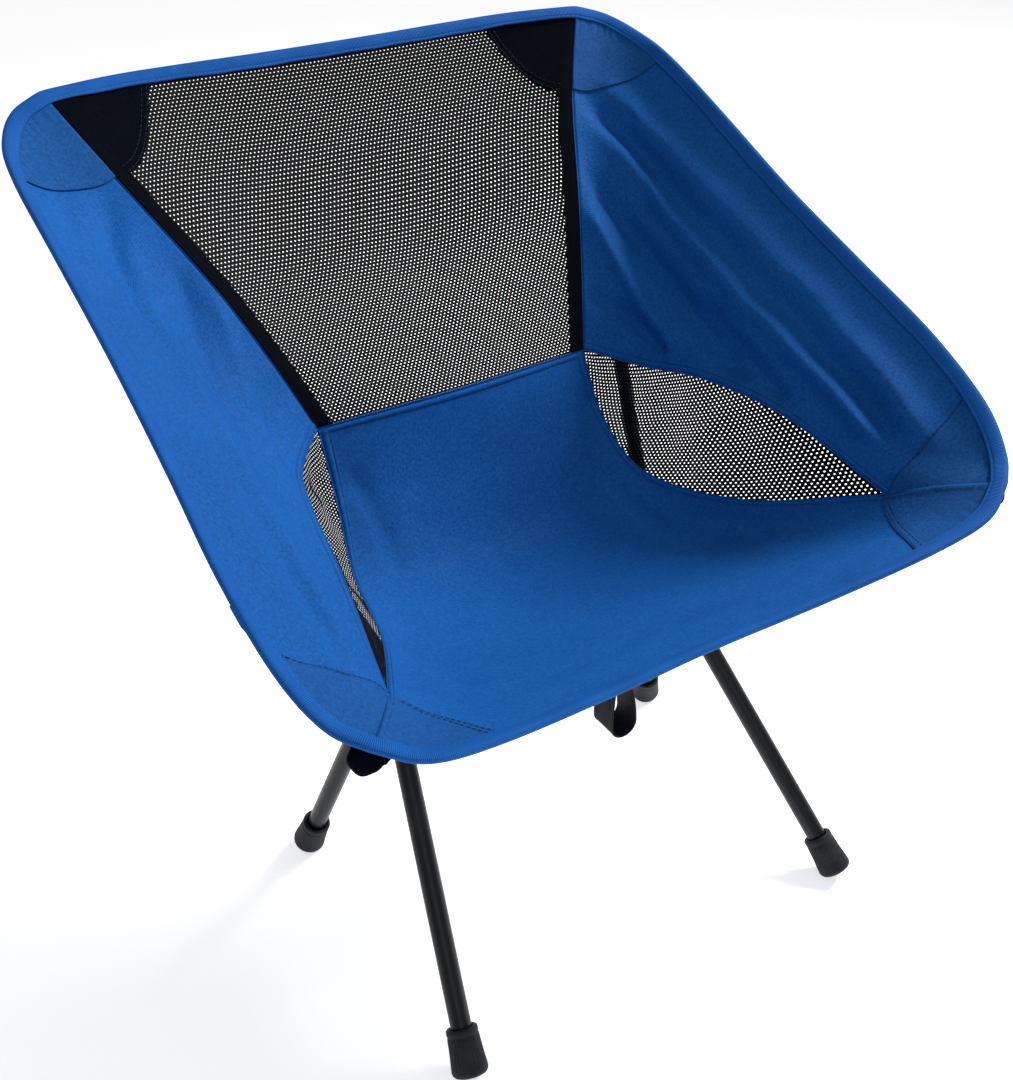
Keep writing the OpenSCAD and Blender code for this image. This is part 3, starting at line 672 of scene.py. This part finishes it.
along = np.linspace(0, 1, 400)
for side in SIDES:
    panel = WINGS[side]
    cloth = panel.sheet("wing_cloth_" + side, *panel.grid(PLAIN_ROWS, HEM_ROWS, 104, HEM_ROWS, [0, 4, 8], 50))
    dress(cloth, BLUE, "blue_cloth", "side_panel_" + side)
    for row in HEM_STITCHES:
        seams["blue"].on(panel, along, row * MM / panel.len_v(along))
        seat_v = along[8:-4]
        edge_u = row * MM / SEAT.len_u(seat_v)
        seams["blue"].on(SEAT, edge_u if side == "left" else 1 - edge_u, seat_v)
    seams["blue"].on(panel, SIDE_STITCH * MM / panel.len_u(along[4:]), along[4:])
for row in HEM_STITCHES:
    seams["blue"].on(SEAT, along[8:-8], row * MM / SEAT.len_v(along[8:-8]))


# ---- Patches, pockets and tapes ----------------------------------------------------------------------

def leaf(name, panel, u, v, edge_gap, above):
    """A patch over a panel. edge_gap is each point's distance from its sewn edge, in millimetres."""
    grooves = sum(0.4 * ridge(edge_gap, row, 0.8) for row in PATCH_STITCHES)
    rounded = 0.35 * (1 - smooth_step(edge_gap / 1.2))
    return panel.sheet(name, u, v, above - (grooves + rounded) * MM)


def near_edge(count, rows=(0, 0.012, 0.024, 0.045, 0.07, 0.1)):
    """Fractions from 0 to 1 that are closer together at the sewn edge."""
    return np.concatenate([rows, np.linspace(rows[-1], 1, count)[1:]])


def line_beside(panel, u, v, distance):
    """A line of (u, v) on a panel, moved sideways over the cloth by a distance in millimetres."""
    x, y = u * panel.len_u(v) / MM, v * panel.len_v(u) / MM
    dx, dy = np.gradient(x), np.gradient(y)
    size = np.hypot(dx, dy)
    x, y = x - dy / size * distance, y + dx / size * distance
    return x * MM / panel.len_u(v), y * MM / panel.len_v(u)


def sewn_patch(
    name, panel, edge_u, edge_v, inner, material, slot, thread, node, turn=1, above=0.9 * MM
):
    """A patch between its sewn edge and an inner line, both (u, v) lines, with two rows of stitches.

    turn is 1 where the patch lies to the left of its edge line and -1 where it lies to the right.
    """
    share = near_edge(22)[:, None]
    inner_u, inner_v = inner
    u, v = edge_u + (inner_u - edge_u) * share, edge_v + (inner_v - edge_v) * share
    p = panel.at(u, v)
    gap = np.linalg.norm(p - p[:1], axis=-1) / MM
    obj = leaf(name, panel, u, v, gap, above)
    dress(obj, material, slot, *node)
    for row in PATCH_STITCHES:
        line_u, line_v = line_beside(panel, edge_u[1:-2], edge_v[1:-2], turn * row)
        keep = (line_u > 0) & (line_u < 1) & (line_v > 0) & (line_v < 1)
        seams[thread].on(panel, line_u[keep], line_v[keep], above + 0.1 * MM)


# The v that the corner patches reach down to, and how far above the cloth each kind of patch lies.
PATCH_LOW = 0.75
POCKET_LAYER, PATCH_LAYER = 0.9 * MM, 1.5 * MM

t = np.linspace(0.004, 1, 60)
ones = np.ones_like(t)
for side in SIDES:
    panel = HALF_BACK[side]
    edge_v = PATCH_LOW + (1 - PATCH_LOW) * t
    sewn_patch(
        "corner_patch_cloth_" + side, panel, 1 - 0.185 * t**0.47, edge_v, (ones, edge_v),
        BLACK, "black_cloth", "black", ["corner_patch_" + side], -1, PATCH_LAYER,
    )
    band_v = np.linspace(0.0, 0.84, 70)
    rows = np.array([0, 0.6, 1.4, 2.2, 3.2, 5, 7, 8.6, 9.6, 10.6, 11.4, 12])[:, None] * MM
    for face, above in (("front", 0.85 * MM), ("rear", -1.4 * MM)):
        band_u = 1 - rows / panel.len_u(band_v)
        band = panel.sheet(
            "side_band_%s_%s" % (face, side), band_u, np.broadcast_to(band_v, band_u.shape),
            above - 0.25 * MM * sum(ridge(rows / MM, at, 0.7) for at in BAND_STITCHES), 0.7 * MM,
        )
        dress(band, TAPE, "black_cloth", *(["side_seam_tape_" + side] if face == "rear" else []))
    for row in BAND_STITCHES:
        seams["black"].on(panel, 1 - row * MM / panel.len_u(band_v), band_v, 0.9 * MM)

    panel = WINGS[side]
    pocket_u = 0.285 * t
    low = 0.755 + 0.225 * t**2.2
    sewn_patch(
        "top_pocket_cloth_" + side, panel, pocket_u, low, (pocket_u, ones),
        POCKET_BLUE_PAINTED_SHADE, "blue_cloth", "blue", ["top_pocket_" + side],
    )
    leaf_v = 0.03 + 0.97 * t
    sewn_patch(
        "front_pocket_wing_leaf_" + side, panel, 1 - 0.235 * t**1.05, leaf_v, (ones, leaf_v),
        POCKET_BLUE_PAINTED_SHADE, "blue_cloth", "blue", ["front_pocket_" + side], -1,
    )
    panel = HALF_SEAT[side]
    for row in (1.4, 7.2):
        seam_v = np.linspace(0.805, 0.98, 60)
        seams["blue"].on(panel, 1 - row * MM / panel.len_u(seam_v), seam_v, 1.0 * MM)
    leaf_v = 0.8 + 0.2 * t
    sewn_patch(
        "front_pocket_seat_leaf_" + side, panel, 1 - 0.27 * np.sqrt(t), leaf_v, (ones, leaf_v),
        POCKET_BLUE_PAINTED_SHADE, "blue_cloth", "blue", [], -1,
    )

tape_u = np.linspace(0.03, 0.97, 60)
tape_rows = np.array([0, 1.5, 3, 5, 7, 9, 10])[:, None] * MM
tape_v = tape_rows / SEAT.len_v(tape_u)
lumbar_tape = SEAT.sheet("lumbar_tape", np.broadcast_to(tape_u, tape_v.shape), tape_v, -1.5 * MM, 0.7 * MM)
dress(lumbar_tape, TAPE, "black_cloth", "lumbar_seam_tape")


# ---- Binding round the whole edge --------------------------------------------------------------------

def edge_run(panel_kind, edge, t, side="right"):
    """Points on a panel's outer edge and the direction inward over the cloth, at fractions t of the edge."""
    mirror = MIRROR if side == "left" else 1
    point = edge(t) * mirror
    return point, panel_kind(t, np.full_like(t, 0.97)) * mirror - point


def raised_by(panel_name, t):
    """How far the patches under the binding lift it, in metres."""
    if panel_name == "back":
        return PATCH_LAYER * smooth_step((np.abs(t - 0.5) - 0.29) / 0.04)
    if panel_name == "seat":
        return POCKET_LAYER * smooth_step((np.abs(t - 0.5) - 0.21) / 0.04)
    return POCKET_LAYER * (smooth_step((0.28 - t) / 0.04) + smooth_step((t - 0.74) / 0.04))


# Where the tape starts on the left wing's edge, and how far its end runs past that, as fractions of it.
JOIN = 0.747
OVERLAP = 0.022
runs = [
    (wing, side_edge, np.linspace(JOIN, 0, 120, endpoint=False), "left", "wing"),
    (back, top_edge, np.linspace(0, 1, 130, endpoint=False), "right", "back"),
    (wing, side_edge, np.linspace(0, 1, 165, endpoint=False), "right", "wing"),
    (seat, front_edge, np.linspace(1, 0, 130, endpoint=False), "right", "seat"),
    (wing, side_edge, np.linspace(1, JOIN - OVERLAP, 50), "left", "wing"),
]
edge_points, inward, lift = [], [], []
for surface_of, edge, t, side, kind in runs:
    point, direction = edge_run(surface_of, edge, t, side)
    edge_points.append(point)
    inward.append(direction)
    lift.append(raised_by(kind, t))
edge_points, inward, lift = np.vstack(edge_points), np.vstack(inward), np.concatenate(lift)


def smoothed(values, reach):
    """A moving average along the binding."""
    kernel = np.hanning(2 * reach + 3)[1:-1]
    kernel /= kernel.sum()
    padded = np.concatenate([np.repeat(values[:1], reach, 0), values, np.repeat(values[-1:], reach, 0)])
    return np.stack([np.convolve(padded[:, k], kernel, "valid") for k in range(values.shape[1])], 1)


inward /= np.linalg.norm(inward, axis=1, keepdims=True)
inward = smoothed(inward, 9)
edge_points = smoothed(edge_points, 3)
lift = smoothed(lift[:, None], 5)[:, 0]
travel = np.gradient(edge_points, axis=0)
travel /= np.linalg.norm(travel, axis=1, keepdims=True)
inward -= travel * (inward * travel).sum(1, keepdims=True)
inward /= np.linalg.norm(inward, axis=1, keepdims=True)
upward = np.cross(inward, travel)
run_length = np.concatenate([[0], np.cumsum(np.linalg.norm(np.diff(edge_points, axis=0), axis=1))])
over = 0.6 * MM * smooth_step((run_length - run_length[-1] + 0.018) / 0.004)

# Across the tape, in millimetres: distance inward, height, and how much of the patches' lift it takes.
TAPE_PROFILE = np.array([
    (10.0, 0.95, 1), (9.5, 1.35, 1), (8.8, 1.45, 1), (8.2, 1.15, 1), (7.6, 1.5, 1), (6.2, 1.75, 0.9),
    (4.2, 1.9, 0.6), (2.2, 1.95, 0.35), (0.6, 1.7, 0.2), (-0.5, 1.0, 0), (-0.9, 0.0, 0), (-0.5, -1.0, 0),
    (0.6, -1.75, 0), (2.2, -1.95, 0), (4.2, -1.95, 0), (8.0, -1.85, 0), (10.0, -1.7, 0),
])
wave = 0.35 * np.sin(run_length / 0.021 + 2 * np.sin(run_length / 0.083)) + 0.2 * np.sin(run_length / 0.0076)
across = (TAPE_PROFILE[:, 0] + wave[:, None] * (TAPE_PROFILE[:, 0] > 7)) * MM
height = TAPE_PROFILE[:, 1] * MM + lift[:, None] * TAPE_PROFILE[:, 2]
swell = np.where(TAPE_PROFILE[:, 1] < 0, -over[:, None], over[:, None])
across = across - over[:, None] * (TAPE_PROFILE[:, 0] < 1)
tape_points = (
    edge_points[:, None] + inward[:, None] * across[..., None] + upward[:, None] * (height + swell)[..., None]
)
profile_steps = np.linalg.norm(np.diff(TAPE_PROFILE[:, :2], axis=0), axis=1)
tape_across = np.concatenate([[0], np.cumsum(profile_steps)]) * MM
places = np.stack(np.broadcast_arrays(tape_across[None], run_length[:, None]), -1)
binding = make_object("edge_binding_tape", tape_points, grid_faces(*places.shape[:2], flip=True), places)
thicken(binding, 0.7 * MM)
dress(binding, BINDING, "blue_cloth", "edge_binding")
seams["light"].add(tape_points[:, 3] + upward * 0.4 * MM, upward, radius=0.38 * MM)


# ---- Pouches for the pole tips -----------------------------------------------------------------------

HUB = np.array([130, -23, 241]) * MM


def pouch(name, tip, direction, lip, lip_across, spread, side, node):
    """A cloth pouch: round at its mouth, and pressed flat past the tip to a wide lip sewn to the cover."""
    depth = 34 * MM
    axis = direction / np.linalg.norm(direction)
    mouth = tip - axis * depth
    wide = lip_across - axis * (lip_across @ axis)
    wide /= np.linalg.norm(wide)
    deep = np.cross(wide, axis)
    rings, around = 30, 48
    turn = np.linspace(0, math.tau, around + 1)
    points = np.empty((rings, around + 1, 3))
    for k, share in enumerate(np.linspace(0, 1, rings)):
        closing = smooth_step((share - 0.72) / 0.28)
        centre = mouth + axis * (depth + 11.5 * MM) * min(share / 0.8, 1)
        centre = centre + (lip - centre) * closing
        flare = 0.5 * MM * (1 - smooth_step(share / 0.08)) + 0.35 * MM * ridge(share, 0.12, 0.02)
        fold = 0.3 * MM * np.sin(5 * turn + 9 * share) * smooth_step(share / 0.3) * (1 - closing)
        r_wide = 9.4 * MM + flare + spread * closing + fold
        r_deep = (9.4 * MM + flare) * (1 - closing) + 0.55 * MM * closing + fold
        points[k] = centre + np.outer(np.cos(turn) * r_wide, wide) + np.outer(np.sin(turn) * r_deep, deep)
    if side == "left":
        points = points * MIRROR
    obj = make_object(name, points, grid_faces(rings, around + 1, flip=side == "left"), cloth_places(points))
    thicken(obj, 0.9 * MM)
    dress(obj, BLACK, "black_cloth", node)
    line = points[3]
    up = line - line[:-1].mean(0)
    seams["black"].add(line + up / np.linalg.norm(up, axis=1, keepdims=True) * 0.1 * MM, up)


FRONT_TIP, BACK_TIP = np.array([237, -252, 378]) * MM, np.array([253, 228, 602]) * MM
FRONT_LIP, BACK_LIP = np.array([232, -260, 388.5]) * MM, np.array([248, 232, 620]) * MM
BACK_DIRECTION = np.array([0.214, 0.560, 0.800])
for side in SIDES:
    pouch(
        "front_pouch_" + side, FRONT_TIP, FRONT_TIP - HUB, FRONT_LIP, np.array([0.87, 0.35, 0.33]), 2 * MM,
        side, "front_pole_sleeve_" + side,
    )
    pouch(
        "back_pouch_" + side, BACK_TIP, BACK_DIRECTION, BACK_LIP, np.array([0.85, -0.45, -0.2]), 0.5 * MM,
        side, "back_pole_sleeve_" + side,
    )


# ---- Webbing loop under the seat ---------------------------------------------------------------------

PIVOT = np.array([0, -143, 297.5]) * MM
LOOP_LENGTH, LOOP_WIDTH, LOOP_END = 94 * MM, 24 * MM, 11 * MM

# The line under the middle of the seat that the webbing stays below: its Y and its Z.
middle_line = SEAT.at(0.5, np.linspace(1, 0, 80), -1.6 * MM)
UNDER_SEAT = (middle_line[:, 1], middle_line[:, 2])


def strap(name, path, body, node):
    """Flat webbing along a path in the XZ plane, slightly crowned, with rounded selvedges."""
    steps = np.concatenate([[0], np.cumsum(np.linalg.norm(np.diff(path, axis=0), axis=1))])
    along_path = np.gradient(path, axis=0)
    along_path /= np.linalg.norm(along_path, axis=1, keepdims=True)
    outward = np.stack([-along_path[:, 1], along_path[:, 0]], 1)
    spread = np.array([-1, -0.97, -0.9, -0.8, -0.4, 0, 0.4, 0.8, 0.9, 0.97, 1])
    crown = 0.12 * MM * (1 - spread**2) - 0.25 * MM * np.maximum(np.abs(spread) - 0.9, 0) / 0.1
    sway = 0.5 * MM * np.sin(steps / 0.017)
    xz = path[:, None] + outward[:, None] * crown[None, :, None]
    y = spread * LOOP_WIDTH / 2 * 0.98 + 0 * steps[:, None]
    points = PIVOT + np.stack([xz[..., 0] + 0 * y, y, xz[..., 1]], -1)
    points[..., 2] = np.minimum(points[..., 2], np.interp(points[..., 1], *UNDER_SEAT))
    places = np.stack(np.broadcast_arrays(spread * LOOP_WIDTH / 2, (steps + sway * 0.1)[:, None]), -1)
    obj = make_object(name, points, grid_faces(*places.shape[:2]), places)
    thicken(obj, 1.5 * MM, 0)
    dress(obj, STRAP, "webbing", node, body=body)


turn = np.linspace(math.pi, math.tau, 40)
drop = LOOP_LENGTH - LOOP_END - 0.8 * MM
end = np.stack([np.cos(turn), np.sin(turn)], 1) * (LOOP_END - 0.5 * MM) + [0, -drop]
fall = np.linspace(0, 1, 60, endpoint=False)[:, None]
neck = 0.85 * MM
left_leg = np.hstack([-neck - (LOOP_END - 0.5 * MM - neck) * smooth_step(fall), -fall * drop])
right_leg = (left_leg * [-1, 1])[::-1]
fold_turn = np.linspace(math.pi / 2, math.pi, 9)[:-1]
left_fold = np.stack([np.cos(fold_turn), 0.4 * np.sin(fold_turn)], 1) * neck
right_fold = (left_fold * [-1, 1])[::-1]
loop_path = np.vstack([left_fold, left_leg, end, right_leg, right_fold])
strap("webbing_loop_strap", loop_path, "loop", "webbing_loop")

tab_path = np.array([(-3.2, 11), (-2.4, 9.5), (-1.4, 8), (-1.0, 6), (-0.9, 4), (-0.85, 2.55)]) * MM
tab_path = np.vstack([tab_path, (tab_path * [-1, 1])[::-1]])
fine = np.linspace(0, len(tab_path) - 1, 60)
tab_path = np.stack([np.interp(fine, np.arange(len(tab_path)), tab_path[:, k]) for k in range(2)], 1)
strap("loop_tab_strap", tab_path, "chair", "loop_tab")


# ---- Feet --------------------------------------------------------------------------------------------

# The middle of each cap's underside, then the cap's outline as radius and height.
FRONT_FOOT, REAR_FOOT = np.array([180, -213, 6.62]) * MM, np.array([189, 77, 4.13]) * MM
FOOT_PROFILE = np.array([
    (0, 0), (8.5, 0), (10.4, 0.2), (12.2, 1.0), (13.4, 2.4), (13.95, 4.2), (13.85, 6), (13.3, 10),
    (12.9, 14), (12.55, 18), (12.3, 22), (12.15, 26), (12.1, 28.6), (11.75, 29.2), (11.75, 30.0),
    (12.1, 30.6), (12.1, 33.6), (11.8, 34.4), (11.1, 34.9), (10.2, 35.0), (9.2, 34.7), (8.6, 33.6), (8.6, 28),
]) * MM


def foot(name, base, side, body, node):
    """A flared rubber cap with fine upright ribs, worn flat where it stands."""
    axis = HUB - base
    axis /= np.linalg.norm(axis)
    across = np.cross(axis, [0, 0, 1])
    across /= np.linalg.norm(across)
    third = np.cross(axis, across)
    turn = np.arange(120) * math.tau / 120
    rib = 0.22 * MM * np.cos(30 * turn)
    points = []
    for radius, height in FOOT_PROFILE:
        ribbed_here = smooth_step((height - 5 * MM) / (3 * MM)) * smooth_step((28.5 * MM - height) / (3 * MM))
        reach = radius + rib * ribbed_here * (radius > 10 * MM)
        ring = np.outer(np.cos(turn) * reach, across) + np.outer(np.sin(turn) * reach, third)
        points.append(base + axis * height + ring)
    points = np.array(points)
    points[..., 2] = np.maximum(points[..., 2], 0)
    if side == "left":
        points = points * MIRROR
    obj = make_object(name, points, grid_faces(*points.shape[:2], flip=side == "right", wrap_cols=True))
    dress(obj, RUBBER, "rubber", node, body=body)


for side in SIDES:
    for end_name, base in (("front", FRONT_FOOT), ("rear", REAR_FOOT)):
        corner = "%s_%s" % (end_name, side)
        foot("cap_" + corner, base, side, corner + "_leg", "foot_" + corner)


# ---- Finish of the frame's own parts -----------------------------------------------------------------

for thread, material, slot in (
    ("blue", BLUE_THREAD, "blue_cloth"),
    ("light", LIGHT_THREAD, "blue_cloth"),
    ("black", BLACK_THREAD, "black_cloth"),
):
    dress(seams[thread].build(thread + "_stitching"), material, slot)

# A node takes the look of the first of these that its name starts with.
CAD_LOOKS = [
    ("hub_pin", STEEL), ("hub", PLASTIC), ("leg_plug", ALUMINIUM), ("leg", TUBE), ("cross_bar", TUBE),
    ("shock_cord", CORD), ("front_pole_tip", PLASTIC), ("back_pole_tip", PLASTIC),
    ("back_pole_ferrule", ALUMINIUM), ("front_pole", TUBE), ("back_pole", TUBE), ("", BLACK),
]
for name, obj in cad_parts.items():
    material = next(look for start, look in CAD_LOOKS if name.startswith(start))
    for slot in obj.material_slots:
        slot.material = material


# ---- Floor, light and camera -------------------------------------------------------------------------

def floor_finish():
    look = Look("studio_floor", Specular_IOR_Level=0.25, Emission_Color=(1, 1, 1, 1), Emission_Strength=0.6)
    tone = look.noise(3.0, 5.0)
    return look.finish(
        look.blend(tone, (0.90, 0.90, 0.90), (0.93, 0.93, 0.93)), look.between(tone, 0.7, 0.85),
        look.bump(look.noise(220.0, 3.0), 0.1 * MM, 0.2),
    )


FLOOR_REACH = 8.0
corners = [(x * FLOOR_REACH, y * FLOOR_REACH, 0) for x, y in ((-1, -1), (1, -1), (1, 1), (-1, 1))]
floor = make_object("studio_floor", corners, [(0, 1, 2, 3)])
floor.data.materials.append(floor_finish())


def area_light(name, place, target, width, height, power):
    data = bpy.data.lights.new(name, "AREA")
    data.shape = "RECTANGLE"
    data.size, data.size_y, data.energy = width, height, power
    lamp = bpy.data.objects.new(name, data)
    bpy.context.scene.collection.objects.link(lamp)
    lamp.location = place
    lamp.rotation_euler = (Vector(target) - Vector(place)).to_track_quat("-Z", "Y").to_euler()


area_light("key", (2.0, -0.05, 2.1), (0, 0, 0.4), 0.8, 0.8, 82)
area_light("fill", (-0.8, -2.4, 1.6), (0, 0, 0.4), 1.6, 1.2, 5)
world = bpy.data.worlds.new("studio")
world.use_nodes = True
background = world.node_tree.nodes["Background"]
background.inputs["Color"].default_value = (1.0, 1.0, 1.0, 1.0)
background.inputs["Strength"].default_value = 0.36

scene = bpy.context.scene
scene.world = world
scene.view_settings.view_transform = "Standard"

# The camera's place, its angles in degrees and its lens in millimetres.
CAMERA_PLACE = (-0.4023, -0.7280, 0.8187)
AZIMUTH, ELEVATION, ROLL = -28.63, 32.0, -3.72
LENS, SENSOR = 40.78, 36.0

azimuth, elevation, roll = (math.radians(a) for a in (AZIMUTH, ELEVATION, ROLL))
behind = Vector((
    math.sin(azimuth) * math.cos(elevation), -math.cos(azimuth) * math.cos(elevation), math.sin(elevation),
))
right = (-behind).cross(Vector((0, 0, 1))).normalized()
above = right.cross(-behind)
turned_right = right * math.cos(roll) + above * math.sin(roll)
turned_up = above * math.cos(roll) - right * math.sin(roll)
lens = bpy.data.cameras.new("camera")
lens.lens, lens.sensor_width = LENS, SENSOR
camera = bpy.data.objects.new("camera", lens)
scene.collection.objects.link(camera)
camera.matrix_world = Matrix.Translation(CAMERA_PLACE) @ Matrix(
    (turned_right, turned_up, behind)
).transposed().to_4x4()
scene.camera = camera
